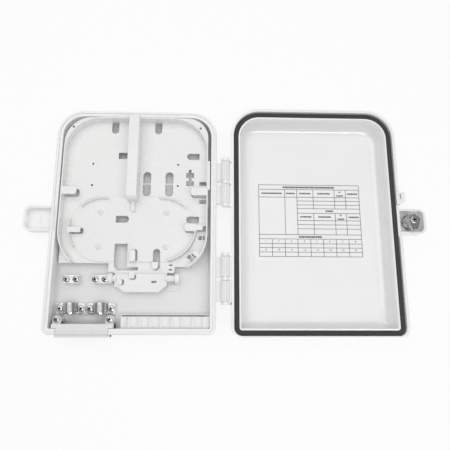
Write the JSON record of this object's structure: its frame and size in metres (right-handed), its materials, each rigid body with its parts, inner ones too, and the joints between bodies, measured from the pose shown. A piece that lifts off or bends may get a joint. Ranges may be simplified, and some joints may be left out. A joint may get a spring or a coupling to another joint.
{
  "type": "fibre distribution box",
  "caption": "Wall-mounted plastic fibre distribution box with a hinged lid, a gasket, a cam lock, a fibre tray with a splice cassette, cable clamps and drop cable ports.",
  "frame": {"origin": "centre of the base's back face, the face that lies against the wall", "axes": "+Z away from the wall, +Y towards the top of the box, +X towards the hinge and the open lid"},
  "size_m": [0.4844, 0.2822, 0.0361],
  "materials": {
    "housing_plastic": "white moulded plastic, slightly glossy",
    "tray_plastic": "white moulded plastic, smooth",
    "comb_plastic": "white moulded plastic, matt",
    "gasket_rubber": "dark grey foamed rubber",
    "seal_rubber": "dark grey rubber",
    "clamp_steel": "zinc-plated steel",
    "lock_metal": "plated metal"
  },
  "bodies": {
    "base": {"base_housing": "housing_plastic", "fibre_tray": "tray_plastic", "splice_cassette": "tray_plastic", "fibre_channel": "tray_plastic", "strength_clamp_left": "clamp_steel", "strength_clamp_right": "clamp_steel", "strength_clamp_screws": "clamp_steel", "saddle_clamp_left": "clamp_steel", "saddle_clamp_right": "clamp_steel", "saddle_clamp_screws": "clamp_steel", "cable_entry_clamp": "housing_plastic", "cable_entry_seal": "seal_rubber", "cable_entry_screws": "clamp_steel", "drop_cable_comb": "comb_plastic"},
    "lid": {"lid_cover": "housing_plastic", "lid_gasket": "gasket_rubber", "lock_sleeve": "lock_metal", "lock_nut": "lock_metal"},
    "lock": {"lock_core": "lock_metal", "lock_cam": "lock_metal", "cam_screw": "clamp_steel"}
  },
  "joints": [
    {"name": "lid_hinge", "type": "hinge", "parent": "base", "child": "lid", "pos_m": [0.1097, 0, 0.027], "axis": [0, -1, 0], "range_deg": [0, 180]},
    {"name": "lock_turn", "type": "hinge", "parent": "lid", "child": "lock", "pos_m": [0.3362, -0.002, 0.031], "axis": [0, 0, 1], "range_deg": [0, 90]}
  ]
}
